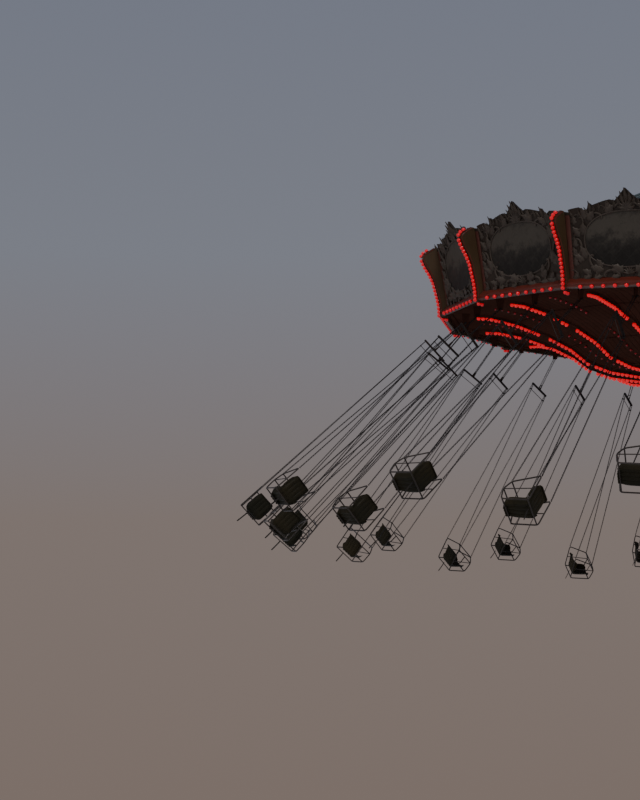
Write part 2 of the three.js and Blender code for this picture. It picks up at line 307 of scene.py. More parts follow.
# Zinc plate dulled by weather: a blurred metal sheen with pale and dark clouds.
zinc_plate = aged_paint("zinc-plated steel", "#8c8f8e", "#a3a39c", "#565248", 0.38, metal=0.85,
                        streaks=0.3)
fix_to(round_about(join([jack, handle], "jack"), 8, "screw_jacks"), "base", zinc_plate)

# Deck
# A sixteen-sided step round the ride's foot, covered with chequer plate: pressed aluminium with
# raised bars, worn bright, edged with a rounded nosing, over slatted sides.
SIDES = 16
STEP = 2 * math.pi / SIDES
CORNER = 1 / math.cos(STEP / 2)
HALF_SIDE = math.tan(STEP / 2)
DECK_TOP = 0.42
DECK_INSIDE = 1.63
DECK_OUTSIDE = 2.435
TREAD_JOINT = 0.01
SLAT_PITCH = 0.073
SLAT_FOOT = 0.235


def edit_all(operator, **settings):
    """Runs a mesh operator on the whole of the active piece."""
    bpy.ops.object.mode_set(mode="EDIT")
    bpy.ops.mesh.select_all(action="SELECT")
    operator(**settings)
    bpy.ops.object.mode_set(mode="OBJECT")


def close_up(weld=0.0):
    """Merges the active piece's points within a distance, and turns its faces outwards."""
    if weld:
        edit_all(bpy.ops.mesh.remove_doubles, threshold=weld)
    edit_all(bpy.ops.mesh.normals_make_consistent, inside=False)


def plate(outline, depth):
    """A flat outline in XY pulled up by depth."""
    made = primitive(bpy.ops.mesh.primitive_circle_add, vertices=len(outline), fill_type="NGON")
    for corner, place in zip(made.data.vertices, outline):
        corner.co = (place[0], place[1], 0)
    edit_all(bpy.ops.mesh.extrude_region_move, TRANSFORM_OT_translate={"value": (0, 0, depth)})
    close_up()
    return made


def turned(profile, sides):
    """A closed [radius, height] profile spun about the vertical axis."""
    made = primitive(bpy.ops.mesh.primitive_circle_add, vertices=len(profile), fill_type="NOTHING")
    for corner, (r, z) in zip(made.data.vertices, profile):
        corner.co = (r, 0, z)
    edit_all(bpy.ops.mesh.spin, steps=sides, angle=2 * math.pi, center=(0, 0, 0), axis=(0, 0, 1))
    close_up(0.0002)
    return made


def flat_ring(name, profile, move=Matrix.Identity(4)):
    """A sixteen-sided moulding from a closed profile of flat radius and height."""
    made = turned([(r * CORNER, z) for r, z in profile], SIDES)
    made.data.transform(move)
    made.name = name
    return made


# Pressed aluminium: a scuffed, broken shine over the raised bars, with grey-brown dirt.
chequer = aged_paint("chequer plate", "#8b8a84", "#a09c92", "#57503f", 0.42, metal=0.7, streaks=0.35)
tree = chequer.node_tree
# Raised bars 30 mm long in two crossed directions, 38 mm apart.
bars = []
for angle in (45, -45):
    grain = add_node(tree, "Mapping", {"Rotation": (0, 0, math.radians(angle)), "Scale": (26, 13, 1),
                                       "Vector": tree.nodes["where"].outputs["Object"]})
    bars.append(add_node(tree, "TexVoronoi", {"Scale": 1.0, "Randomness": 0.0, "Vector": grain}))
near = add_node(tree, "Math", {"operation": "MINIMUM", 0: bars[0], 1: bars[1]})
raised = add_node(tree, "MapRange", {0: near, 1: 0.24, 2: 0.34, 3: 1.0, 4: 0.0})
feed(tree, "Normal", add_node(tree, "Bump", {"Strength": 0.8, "Distance": 0.004, "Height": raised}))

# Varnished softwood: warm brown, dull, and grey-brown where the varnish is off.
deck_brown = aged_paint("deck varnish", "#5a3f2c", "#6f523a", "#2f261d", 0.55, chips="#8c7350")
paint_node("base_plinth", deck_brown)
tread = plate([(r, across * (r * HALF_SIDE - TREAD_JOINT)) for r, across in (
    (DECK_INSIDE, -1), (DECK_OUTSIDE, -1), (DECK_OUTSIDE, 1), (DECK_INSIDE, 1))], 0.006)
soften(tread, 0.002)
treads = round_about(tread, SIDES, "deck_treads", STEP / 2, at(0, 0, DECK_TOP))
fix_to(treads, "base", chequer)
nosing = flat_ring("deck_nosing", [(r, DECK_TOP + z) for r, z in (
    (2.44, 0.001), (2.46, 0.018), (2.49, 0.016), (2.505, -0.005), (2.498, -0.045), (2.452, -0.045),
    (2.452, 0.001))])
fix_to(nosing, "base", zinc_plate)
slat = plate([(2.452, -0.030), (2.470, -0.030), (2.470, 0.030), (2.452, 0.030)], 0.128)
soften(slat, 0.004)
slats = copies(slat, [at(0, i * SLAT_PITCH, SLAT_FOOT) for i in range(-6, 7)], "slats")
fix_to(round_about(slats, SIDES, "deck_skirt", STEP / 2), "base", deck_brown)

# Centre house
# The operator's house round the mast's foot: framed panels of painted plywood with raised
# mouldings, a ledged door and two windows, between oxblood corner posts.
HOUSE_CORNER = 1.55
HOUSE_FLAT = HOUSE_CORNER * math.cos(STEP / 2)
PANEL_FOOT = 0.78
PANEL_HEIGHT = 2.12
PANEL_WIDTH = 0.47
WINDOW_HEIGHT = 0.9
LOW_HEIGHT = 1.17
DOOR_SIDE = 10
WINDOW_SIDES = (DOOR_SIDE - 3, DOOR_SIDE + 3)

# Coach enamel on ply and steel: warm cream with a soft shine and brown chips.
cream_paint = aged_paint("cream coach enamel", "#b7a582", "#c6b795", "#6b5a41", 0.36, chips="#7d5a3e")
# The same enamel on mouldings: a dark red with a soft shine.
oxblood = aged_paint("oxblood moulding enamel", "#64281f", "#7d3d31", "#2c1511", 0.4)
# The same enamel on panels: a greyed green, chalky in patches.
house_green = aged_paint("sage panel enamel", "#5f6f5c", "#76826b", "#3b3d2e", 0.42)
for name in ("centre_house", "mast_middle", "mast_inner"):
    paint_node(name, cream_paint)

# Float glass: nearly black, the dark room behind it painted in as shade, with a clear and faintly rippled
# shine.
glass = new_material("dark window glass", Base_Color=linear("#1c2426"), Roughness=0.08, IOR=1.5)
tree = glass.node_tree
ripple = add_node(tree, "TexNoise", {"Scale": 3.0, "Vector": add_node(tree, "TexCoord").outputs["Object"]})
feed(tree, "Normal", add_node(tree, "Bump", {"Strength": 0.05, "Distance": 0.004, "Height": ripple}))


def sized(x, y, z):
    """A stretch along each axis."""
    return Matrix.Diagonal((x, y, z, 1))


def stepped_panel(width, height, steps, finishes):
    """An upright board facing +X, its middle at the origin, with a face stepped in and out."""
    made = primitive(bpy.ops.mesh.primitive_cube_add, size=1)
    made.data.transform(sized(0.012, width, height) @ at(0.5, 0, 0))
    for finish in finishes:
        made.data.materials.append(finish)
    grow_face(made, steps, 0)
    return made


# Each step of a panel's moulding is its inset, its rise and its finish.
moulded = [(0.022, 0.012, 1), (0.014, -0.010, 1), (0.030, 0.006, 0)]
field = stepped_panel(PANEL_WIDTH, PANEL_HEIGHT, moulded, [house_green, oxblood])
soften(field, 0.003)
window = stepped_panel(PANEL_WIDTH, WINDOW_HEIGHT, [(0.05, -0.006, 0)], [glass, oxblood])
for face in window.data.polygons:
    face.material_index = 0 if face.normal.x > 0.9 and abs(face.center.y) < 0.1 else 1
low_field = stepped_panel(PANEL_WIDTH, LOW_HEIGHT, moulded, [house_green, oxblood])
panels = []
for i in range(SIDES):
    out = about("Z", (i + 0.5) * STEP) @ at(HOUSE_FLAT + 0.0005, 0, 0)
    if i in WINDOW_SIDES:
        panels.append(copy_of(window, out @ at(0, 0, PANEL_FOOT + PANEL_HEIGHT - WINDOW_HEIGHT / 2)))
        panels.append(copy_of(low_field, out @ at(0, 0, PANEL_FOOT + LOW_HEIGHT / 2)))
    else:
        panels.append(copy_of(field, out @ at(0, 0, PANEL_FOOT + PANEL_HEIGHT / 2)))
for piece in (field, window, low_field):
    bpy.data.objects.remove(piece)
fix_to(join(panels, "house_panels"), "base")

door_out = about("Z", (DOOR_SIDE + 0.5) * STEP) @ at(HOUSE_FLAT + 0.03, 0, 0)
ring = primitive(bpy.ops.mesh.primitive_torus_add, major_segments=20, minor_segments=8,
                 major_radius=0.055, minor_radius=0.009, rotation=(0, QUARTER, 0))
ring.data.transform(door_out @ at(0, 0.17, 1.75) @ sized(1, 0.45, 1))
strap = plate([(0, -0.012), (0.20, -0.018), (0.235, 0), (0.20, 0.018), (0, 0.012)], 0.006)
soften(strap, 0.002)
upright = at(-0.012, -0.225, 0) @ about("Y", QUARTER) @ about("Z", QUARTER)
straps = copies(strap, [door_out @ at(0, 0, z) @ upright for z in (1.15, 2.55)], "straps")
# Forged iron under black paint: dull, with a grey sheen.
door_iron = aged_paint("black door iron", "#26262a", "#3a3a3a", "#1c1a17", 0.5, metal=0.4)
fix_to(join([ring, straps], "door_ironwork"), "base", door_iron)

post = plate([(-0.035, -0.012), (0.028, -0.012), (0.034, 0), (0.028, 0.012), (-0.035, 0.012)], 2.30)
soften(post, 0.004)
post.data.transform(at(HOUSE_CORNER, 0, 0.70))
fix_to(round_about(post, SIDES, "house_corner_posts"), "base", oxblood)

# House roof
# A flared ring of painted sheet round the mast, with rolled hips and a gilded collar. The sheet is
# slate teal, faded and run with rain.
SLATE = "#475254"
HOOD_LINE = ((1.66, 0, 3.315), (1.36, 0, 3.583), (1.19, 0, 3.862))
# Sheet paint on steel: grey-teal, chalky in patches and run with rain.
teal_sheet = aged_paint("slate teal sheet paint", SLATE, "#5b6566", "#2a302c", 0.45, streaks=0.45,
                        chips="#7f8a80")
# Leaf over cast metal: warm yellow highlights between patches of brown tarnish.
gilt = aged_paint("gilded casting", "#a87f33", "#c39b4c", "#5a4022", 0.3, metal=0.9, streaks=0.35)
paint_node("house_roof", teal_sheet)


def smooth_path(points, reach, closed=False, steps=3):
    """The points with each corner rounded off over a reach in metres."""
    places = [Vector(p) for p in points]
    path = []
    for i, here in enumerate(places):
        if not closed and i in (0, len(places) - 1):
            path.append(here)
            continue
        before = places[i - 1] - here
        after = places[(i + 1) % len(places)] - here
        back = here + before.normalized() * min(reach, before.length * 0.48)
        ahead = here + after.normalized() * min(reach, after.length * 0.48)
        for k in range(steps + 1):
            t = k / steps
            path.append(back * (1 - t) ** 2 + here * 2 * t * (1 - t) + ahead * t * t)
    return path


def tube(path, radius, sides=8, closed=False, radii=None):
    """A round bar along a path, as a mesh."""
    bpy.ops.object.select_all(action="DESELECT")
    bpy.ops.curve.primitive_bezier_curve_add()
    line = bpy.context.object.data
    line.splines.clear()
    run = line.splines.new("POLY")
    run.points.add(len(path) - 1)
    for i, (knot, place) in enumerate(zip(run.points, path)):
        knot.co = (*place, 1)
        knot.radius = radii[i] if radii else 1.0
    run.use_cyclic_u = closed
    line.dimensions = "3D"
    line.bevel_depth = radius
    line.bevel_resolution = (sides - 4) // 2
    line.use_fill_caps = not closed
    bpy.ops.object.convert(target="MESH")
    close_up(0.0001)
    return bpy.context.object


hip = tube(smooth_path(HOOD_LINE, 0.05), 0.022)
fix_to(round_about(hip, SIDES, "house_roof_hips"), "base", teal_sheet)
collar = flat_ring("house_roof_collar", [
    (1.110, 3.845), (1.185, 3.845), (1.205, 3.862), (1.205, 3.895), (1.180, 3.915), (1.150, 3.920),
    (1.135, 3.935), (1.110, 3.935)])
fix_to(collar, "base", gilt)

# Mast
# Three square box sections of painted plate that slide in each other. Each face carries thin
# framed panels, and the mouths have bolted bands that hold the wear pads.
MIDDLE_HALF = 0.65
INNER_HALF = 0.55
# The foot and the top of each face's two panels.
MIDDLE_SPANS = ((4.42, 5.30), (5.38, 6.26))
INNER_SPANS = ((6.47, 7.27), (7.35, 8.15))
PANEL_MARGIN = 0.08
MOUTH_HALF = 0.8
COLLAR_HALF = 0.7


def bolt_head(radius=0.022, height=0.014):
    """A hexagon head with a washer, standing on the XY plane."""
    made = primitive(bpy.ops.mesh.primitive_cylinder_add, vertices=6, radius=radius * 1.25, depth=0.004,
                     location=(0, 0, 0.002))
    grow_face(made, [(radius * 0.3, height)])
    return made


def bolt_row(name, half_width, pitch, height):
    """Nine bolt heads along each face of a square band."""
    moves = []
    for i in range(4):
        for k in range(-4, 5):
            moves.append(about("Z", i * QUARTER) @ at(half_width, k * pitch, height) @ about("Y", QUARTER))
    return copies(bolt_head(), moves, name)


face_frame = [(0.05, 0.006, 1), (0.012, -0.004, 1), (0.02, 0.002, 0)]
for node, body, half_width, spans in (
    ("mast_middle", "mast_middle", MIDDLE_HALF, MIDDLE_SPANS),
    ("mast_inner", "mast_top", INNER_HALF, INNER_SPANS),
):
    sheets = []
    for low, high in spans:
        board = stepped_panel(2 * (half_width - PANEL_MARGIN), high - low, face_frame,
                              [house_green, oxblood])
        moves = [about("Z", i * QUARTER) @ at(half_width + 0.0005, 0, (low + high) / 2) for i in range(4)]
        sheets.append(copies(board, moves, "sheets"))
    fix_to(join(sheets, f"{node}_panels"), body)

mouth = turned([(r * math.sqrt(2), z) for r, z in (
    (0.752, 4.20), (0.785, 4.20), (0.800, 4.215), (0.800, 4.335), (0.785, 4.352), (0.702, 4.358),
    (0.702, 4.3505), (0.7515, 4.3505))], 4)
mouth.data.transform(about("Z", math.pi / 4))
mouth_bolts = bolt_row("mouth_bolts", MOUTH_HALF, 0.16, 4.275)
fix_to(join([mouth, mouth_bolts], "mast_outer_mouth"), "base", machine_paint)
collar_bolts = bolt_row("mast_middle_bolts", COLLAR_HALF, 0.15, 6.35)
fix_to(collar_bolts, "mast_middle", zinc_plate)

# Lean head
# The head hangs on a greased pin across the mast's two ears. Keeper plates hold the pin's ends,
# and gussets stiffen the drum under the slewing ring.
RIM_HEIGHT = 9.25
LEAN = math.radians(7.25)
PIVOT_BELOW_RIM = 0.6
HEAD = at(0, 0, RIM_HEIGHT - PIVOT_BELOW_RIM * math.cos(LEAN)) @ about("X", LEAN)
PIN_END = 0.5405
KEEPER_RADIUS = 0.10

keeper = plate([(KEEPER_RADIUS * math.cos(k * math.pi / 8), KEEPER_RADIUS * math.sin(k * math.pi / 8))
                for k in range(16)], 0.012)
soften(keeper, 0.003)
ends = [HEAD @ about("Z", i * math.pi) @ at(PIN_END, 0, 0) @ about("Y", QUARTER) for i in (0, 1)]
bolts = [end @ about("Z", (k + 0.5) * QUARTER) @ at(0.068, 0, 0.012) @ sized(0.6, 0.6, 0.6)
         for end in ends for k in range(4)]
keepers = [copies(keeper, ends, "keepers"), copies(bolt_head(), bolts, "keeper_bolts")]
fix_to(join(keepers, "pin_keepers"), "lean_head", zinc_plate)
gusset = plate([(0.5605, 0.20), (0.60, 0.22), (0.60, 0.40), (0.5605, 0.41)], 0.016)
gusset.data.transform(about("X", QUARTER) @ at(0, 0, -0.008))
fix_to(round_about(gusset, 24, "head_gussets", 0.0, HEAD), "lean_head", machine_paint)

# Ceiling
# The crown's underside hangs like a shallow bowl: radial boards of painted ply, oxblood turned
# brown, its red partly the painted glow of the red lamps, over which sixteen lamp rails run from the
# rim to the hub, one under each arm.
CROWN_TURN = math.radians(152.5)
CROWN = HEAD @ at(0, 0, PIVOT_BELOW_RIM) @ about("Z", CROWN_TURN)
# The underside's corner radii and heights.
UNDERSIDE = ((1.50, -0.800), (1.82, -0.790), (2.29, -0.745), (2.70, -0.620), (3.00, -0.405),
             (3.40, -0.225), (3.95, -0.045), (4.42, 0.045), (5.22, 0.046))
BOARD_WIDTH = 0.12
# Each moulding's corner radius and half its width, and the moulding's shape in half widths.
HOOPS = ((5.12, 0.030), (3.95, 0.016), (3.00, 0.016), (2.29, 0.024), (1.52, 0.045))
HOOP_SHAPE = ((-1, 0.4), (-1, -0.3), (-0.6, -0.75), (0, -0.9), (0.6, -0.75), (1, -0.3), (1, 0.4))


def base_colour(tree):
    """The socket that colours the shader so far."""
    return tree.nodes["Principled BSDF"].inputs["Base Color"].links[0].from_socket


def crown_place(tree, where):
    """Coordinates in the crown's own frame, its axis upright and a corner on X."""
    return add_node(tree, "Mapping", {"vector_type": "TEXTURE", "Location": CROWN.to_translation(),
                                      "Rotation": CROWN.to_euler("XYZ"), "Vector": where}).outputs[0]


def side_place(tree, where):
    """Across, out and up within one of the crown's sixteen sides."""
    parts = add_node(tree, "SeparateXYZ", {0: crown_place(tree, where)}).outputs
    angle = add_node(tree, "Math", {"operation": "ARCTAN2", 0: parts["Y"], 1: parts["X"]})
    ahead = add_node(tree, "Math", {"operation": "ADD", 0: angle, 1: 4 * math.pi})
    within = add_node(tree, "Math", {"operation": "MODULO", 0: ahead, 1: STEP})
    off = add_node(tree, "Math", {"operation": "SUBTRACT", 0: within, 1: STEP / 2})
    sine = add_node(tree, "Math", {"operation": "SINE", 0: off})
    flat = add_node(tree, "CombineXYZ", {0: parts["X"], 1: parts["Y"]})
    reach = add_node(tree, "VectorMath", {"operation": "LENGTH", 0: flat}).outputs["Value"]
    across = add_node(tree, "Math", {"operation": "MULTIPLY", 0: sine, 1: reach})
    return add_node(tree, "CombineXYZ", {"name": "side", 0: across, 1: reach, 2: parts["Z"]}).outputs[0]


# Flat enamel on ply: a dusty red-brown without any shine, its red partly the painted glow of the red lamps.
ceiling_paint_and_lamp_glow = aged_paint("ceiling ply enamel", "#462c24", "#53362c", "#261a16", 0.8, streaks=0.4,
                           chips="#40302a", place=side_place, shine=0.0)
# The boards run outwards, with open joints.
tree = ceiling_paint_and_lamp_glow.node_tree
boards = add_node(tree, "TexWave", {"wave_profile": "SAW", "bands_direction": "X",
                                    "Scale": 2 * math.pi / 20 / BOARD_WIDTH, "Vector": tree.nodes["side"]})
joint = add_node(tree, "MapRange", {0: boards.outputs["Fac"], 1: 0.02, 2: 0.08})
shut = add_node(tree, "Mix", {"data_type": "RGBA", 0: joint, 6: "#1a1210", 7: base_colour(tree)})
feed(tree, "Base Color", shut.outputs[2])
feed(tree, "Normal", add_node(tree, "Bump", {"Strength": 0.9, "Distance": 0.006, "Height": joint}))
paint_node("ceiling", ceiling_paint_and_lamp_glow)


def read_off(line, place):
    """The second value of a line of points where the first one, which rises, has a value."""
    for (a, b), (next_a, next_b) in zip(line, line[1:]):
        if place <= next_a:
            return b + (next_b - b) * (place - a) / (next_a - a)
    return line[-1][1]


# Mouldings across each side where the bowl's slope changes, and round the mast's opening.
hoops = [turned([(r + width * x, read_off(UNDERSIDE, r) - 0.004 + width * y) for x, y in HOOP_SHAPE],
                SIDES) for r, width in HOOPS]
mouldings = join(hoops, "ceiling_mouldings")
mouldings.data.transform(CROWN)
fix_to(mouldings, "crown", ceiling_paint_and_lamp_glow)

# Lamps
# Red cabochon lamps, each a moulded polycarbonate dome on a black bayonet cap, stand 77 mm apart
# under the ceiling's rails. Some are out, and those on the small rails between are switched off.
RAIL_DEPTH = 0.035
RAIL_RADII = (1.56, 1.82, 2.29, 2.70, 3.00, 3.40, 3.95, 4.42, 4.70)
RAIL_PITCH = 0.077
# The radii between which a rail's lamps are out: the first two on each rail, the third on every
# other one.
GAPS = ((3.42, 3.54), (2.60, 2.68), (3.86, 3.98))
SPARE_RADII = (1.70, 2.29, 2.70, 3.00, 3.40, 3.95, 4.42, 4.60)
SPARE_PITCH = 0.115
SPARE_GAP = (3.3, 3.65)
CORNERS = [i * STEP for i in range(SIDES)]
MIDDLES = [(i + 0.5) * STEP for i in range(SIDES)]

# Moulded phenolic resin: smooth near-black under a film of dust.
lamp_cap = aged_paint("black phenolic cap", "#1d1a19", "#2d2826", "#14100e", 0.4)


def lamp_glass(name, colour, glow):
    """Tinted polycarbonate, lit from inside where it glows."""
    made = new_material(name, Roughness=0.18, IOR=1.58)
    tree = made.node_tree
    where = add_node(tree, "TexCoord").outputs["Object"]
    cloud = add_node(tree, "TexNoise", {"Scale": 60, "Detail": 2, "Vector": where})
    tint = add_node(tree, "Mix", {"data_type": "RGBA", 0: cloud, 6: colour, 7: "#f01028"}).outputs[2]
    feed(tree, "Base Color", tint)
    if glow:
        feed(tree, "Emission Color", tint)
        tree.nodes["Principled BSDF"].inputs["Emission Strength"].default_value = glow
    return made


# Moulded polycarbonate: a strong red glow under the ceiling, a softer one at the rim and ribs,
# and a dark red where the lamp is off.
lit = lamp_glass("lit red polycarbonate", "#ff0514", 0.52)
dimmer = lamp_glass("dimmer red polycarbonate", "#e60a1c", 0.27)
unlit = lamp_glass("unlit red polycarbonate", "#38100e", 0)


def cabochon(glass, size, sides=8):
    """One lamp standing on the XY plane."""
    made = primitive(bpy.ops.mesh.primitive_cylinder_add, vertices=sides, radius=0.026, depth=0.008,
                     location=(0, 0, 0.004))
    made.data.materials.append(lamp_cap)
    made.data.materials.append(glass)
    pick_face(made)
    for shrink, rise in ((1.0, 0.016), (0.78, 0.015), (0.42, 0.006)):
        bpy.ops.mesh.extrude_region_move(TRANSFORM_OT_translate={"value": (0, 0, rise)})
        bpy.ops.transform.resize(value=(shrink, shrink, 1))
    bpy.ops.object.mode_set(mode="OBJECT")
    for face in made.data.polygons:
        face.material_index = int(face.center.z > 0.0085)
    made.data.transform(sized(size, size, size))
    return made


def walk(line, pitch, first=0.0, gaps=()):
    """Places a pitch apart along a [radius, height] line, each with the line's right-hand normal."""
    marks = []
    left = first
    for (r0, z0), (r1, z1) in zip(line, line[1:]):
        length = math.hypot(r1 - r0, z1 - z0)
        while left <= length:
            t = left / length
            r = r0 + (r1 - r0) * t
            if not any(low < r < high for low, high in gaps):
                marks.append((r, z0 + (z1 - z0) * t, (z1 - z0) / length, (r0 - r1) / length))
            left += pitch
        left -= length
    return marks


def stand_lamps(lamp, rows, name):
    """Fixes a lamp at each mark of each row, in the crown's radial planes at the row's azimuths."""
    moves = []
    for azimuths, marks in rows:
        for azimuth in azimuths:
            for r, z, out, up in marks:
                moves.append(CROWN @ about("Z", azimuth) @ at(r, 0, z) @ about("Y", math.atan2(out, up)))
    fix_to(copies(lamp, moves, name), "crown", angle=60)


rail_line = [(r, read_off(UNDERSIDE, r) - RAIL_DEPTH) for r in RAIL_RADII]
rows = [(CORNERS[first::2], walk(rail_line, RAIL_PITCH, gaps=gaps))
        for first, gaps in enumerate((GAPS[:2], GAPS))]
stand_lamps(cabochon(lit, 1.3), rows, "rail_lamps")
spare_line = [(r, read_off(UNDERSIDE, r * CORNER)) for r in SPARE_RADII]
spare_marks = walk(spare_line, SPARE_PITCH, gaps=(SPARE_GAP,))
stand_lamps(cabochon(unlit, 0.8, 6), [(MIDDLES, spare_marks)], "spare_lamps")

# Rim
# The moulding along the panels' foot is run timber in red-brown enamel, a cyma over a fillet. A
# cove closes the step behind it, and nine lamps to a side stand in a dull zinc trim at its edge.
RIM_FLAT = 5.1805
RIM_LAMP_PITCH = 0.188
# Brushed enamel on run timber: a deep red-brown with chips to the pale wood.
rim_brown = aged_paint("red-brown rim enamel", "#5e261b", "#6c3226", "#331510", 0.45, chips="#7d6450",
                       place=side_place)
# Zinc strip gone dull: brown-grey, with only a trace of metal in it.
zinc_trim = aged_paint("dull zinc trim", "#64504b", "#75625c", "#3f3230", 0.5, metal=0.4)
for name, finish, profile in (
    ("rim_fascia", rim_brown, (
        (5.1655, 0.074), (5.1690, 0.074), (5.1740, 0.068), (5.1760, 0.056), (5.1840, 0.050), (5.1860, 0.036),
        (5.1810, 0.030), (5.1810, 0.004), (5.1806, 0.004), (5.1805, 0.0300), (5.1685, 0.0750))),
    ("panel_cove", rim_brown, (
        (5.1655, 0.0757), (5.1500, 0.0900), (5.1250, 0.1100), (5.1050, 0.1400), (5.0915, 0.1460),
        (5.0845, 0.1100), (5.0775, 0.0757))),
    ("rim_trim", zinc_trim, (
        (5.1806, 0.0040), (5.1815, 0.0030), (5.1815, -0.0085), (5.1560, -0.0235), (5.1300, -0.0195),
        (5.1300, -0.0172), (5.1551, -0.0222), (5.1803, -0.0080))),
):
    fix_to(flat_ring(name, profile, CROWN), "crown", finish)
moves = [CROWN @ about("Z", middle) @ at(RIM_FLAT + 0.001, k * RIM_LAMP_PITCH, -0.001) @ about("Y", QUARTER)
         for middle in MIDDLES for k in range(-4, 5)]
fix_to(copies(cabochon(dimmer, 1.15), moves, "rim_lamps"), "crown", angle=60)

# Ribs
# A carved rib stands on each corner, swept out to a blunt nose: laminated timber in olive enamel,
# with dark red beads along its edges and a sheet channel that carries its row of lamps.
RIB_HALF = 0.035
RIB_EDGE = [
    (5.150, -0.044), (5.262, -0.038), (5.284, -0.012), (5.290, 0.080), (5.312, 0.200), (5.340, 0.300),
    (5.378, 0.420), (5.420, 0.550), (5.492, 0.690), (5.598, 0.840), (5.642, 0.930), (5.652, 0.985),
    (5.620, 1.040), (5.540, 1.100), (5.470, 1.150)]
CHANNEL_WIDTH = 0.048
# The channel's back and its face stand this far off the rib's edge.
CHANNEL_BACK = 0.0006
CHANNEL_FACE = 0.0075
RIB_LAMP_PITCH = 0.0635
# Brushed enamel on laminated timber: dark olive brown, chipped to the wood in places.
olive = aged_paint("olive rib enamel", "#4a3826", "#5a4732", "#241a11", 0.42, chips="#6f5c42",
                   place=crown_place)
paint_node("rim_and_ribs", olive)


def beside(line, offset):
    """The [radius, height] line moved to its right-hand side by an offset."""
    moved = []
    for i, (r, z) in enumerate(line):
        before = line[max(i - 1, 0)]
        after = line[min(i + 1, len(line) - 1)]
        run, climb = after[0] - before[0], after[1] - before[1]
        length = math.hypot(run, climb)
        moved.append((r + offset * climb / length, z - offset * run / length))
    return moved


channel_face = beside(RIB_EDGE, CHANNEL_FACE)
channel = plate(beside(RIB_EDGE, CHANNEL_BACK) + channel_face[::-1], CHANNEL_WIDTH)
channel.data.transform(about("X", QUARTER) @ at(0, 0, -CHANNEL_WIDTH / 2))
soften(channel, 0.0015)
fix_to(round_about(channel, SIDES, "lamp_channels", 0.0, CROWN), "crown", rim_brown)
bead_line = beside(RIB_EDGE[1:], -0.016)
beads = [tube(smooth_path([(r, y, z) for r, z in bead_line], 0.03, steps=2), 0.0075, 6)
         for y in (-RIB_HALF, RIB_HALF)]
edge_beads = round_about(join(beads, "beads"), SIDES, "rib_beads", 0.0, CROWN)
fix_to(edge_beads, "crown", oxblood)
rib_marks = walk(channel_face[:-1], RIB_LAMP_PITCH, 0.03)
stand_lamps(cabochon(dimmer, 1.18), [(CORNERS, rib_marks)], "rib_lamps")

# Crest panels
# Sixteen moulded panels with a carved and pierced top. Each has a broad painted field in a rococo
# frame: cast scrolls, leaves and a shell in brown-gold paint, with painted shade in the hollows.
FIELD_MIDDLE = 0.70
FIELD_HALF_WIDTH = 0.71
FIELD_HALF_HEIGHT = 0.41
FIELD_POWER = 2.4
TRELLIS = 0.15
# The panel face's heights and flat radii.
PANEL_FACE = ((0.0713, 5.075), (0.53, 5.165), (0.79, 5.228), (1.06, 5.29), (1.18, 5.332), (1.44, 5.45))
# The castings stand this far off the panel's face.
OFF_FACE = 0.001


def on_panel(piece):
    """Bends a flat carving, X out of the face, Y across and Z up, to the flared face."""
    for corner in piece.data.vertices:
        out, across, height = corner.co
        corner.co = (read_off(PANEL_FACE, height) + out, across, height)
    return piece


# Paint over cast resin in brown-gold, darkened in the hollows as painted shade, so that the edges
# stand out of a painted black shadow.
carving_paint = aged_paint("brown-gold carving paint with painted shade", "#4f453c", "#4f453c", "#2a2219", 0.5, 0.1,
                           place=crown_place)
tree = carving_paint.node_tree
hollows = add_node(tree, "NewGeometry").outputs["Pointiness"]
depth = add_node(tree, "MapRange", {0: hollows, 1: 0.44, 2: 0.54})
# Painted shade: the hollow parts of the mesh, by their pointiness, go near-black.
shade_in_hollows = add_node(tree, "Mix", {"data_type": "RGBA", 0: depth, 6: "#15100d", 7: base_colour(tree)})
feed(tree, "Base Color", shade_in_hollows.outputs[2])

# Flat enamel on the moulded panels: dark brown with a dusty bloom. The field's edge is a soft
# oval, and inside it lies paint sponged on in dabs of about 170 mm, pale above and dark below.
ground = aged_paint("panel ground enamel", "#312820", "#3c3128", "#19140f", 0.6, chips="#4c4032",
                    place=side_place)
tree = ground.node_tree
local = tree.nodes["side"].outputs[0]
spread = add_node(tree, "SeparateXYZ", {0: local}).outputs
reach = []
for axis, middle, half_size in (("X", 0.0, FIELD_HALF_WIDTH), ("Z", FIELD_MIDDLE, FIELD_HALF_HEIGHT)):
    moved = add_node(tree, "Math", {"operation": "SUBTRACT", 0: spread[axis], 1: middle})
    part = add_node(tree, "Math", {"operation": "DIVIDE", 0: moved, 1: half_size})
    size = add_node(tree, "Math", {"operation": "ABSOLUTE", 0: part})
    reach.append(add_node(tree, "Math", {"operation": "POWER", 0: size, 1: FIELD_POWER}))
total = add_node(tree, "Math", {"operation": "ADD", 0: reach[0], 1: reach[1]})
inside = add_node(tree, "Math", {"operation": "LESS_THAN", 0: total, 1: 1.0})
sponge = add_node(tree, "TexNoise", {"Scale": 6, "Detail": 8, "Roughness": 0.75, "Vector": local})
rise = add_node(tree, "MapRange", {0: spread["Z"], 1: 0.42, 2: 0.92, 3: -0.55, 4: 0.10})
mixed = add_node(tree, "Math", {"operation": "MULTIPLY_ADD", 0: sponge, 1: 1.5, 2: rise})
shade = add_node(tree, "ValToRGB", {0: mixed})
tones = shade.color_ramp.elements
tones[0].position, tones[0].color = 0.25, linear("#1c1712")
tones[1].position, tones[1].color = 0.80, linear("#4a433a")
tones.new(0.52).color = linear("#2e2923")
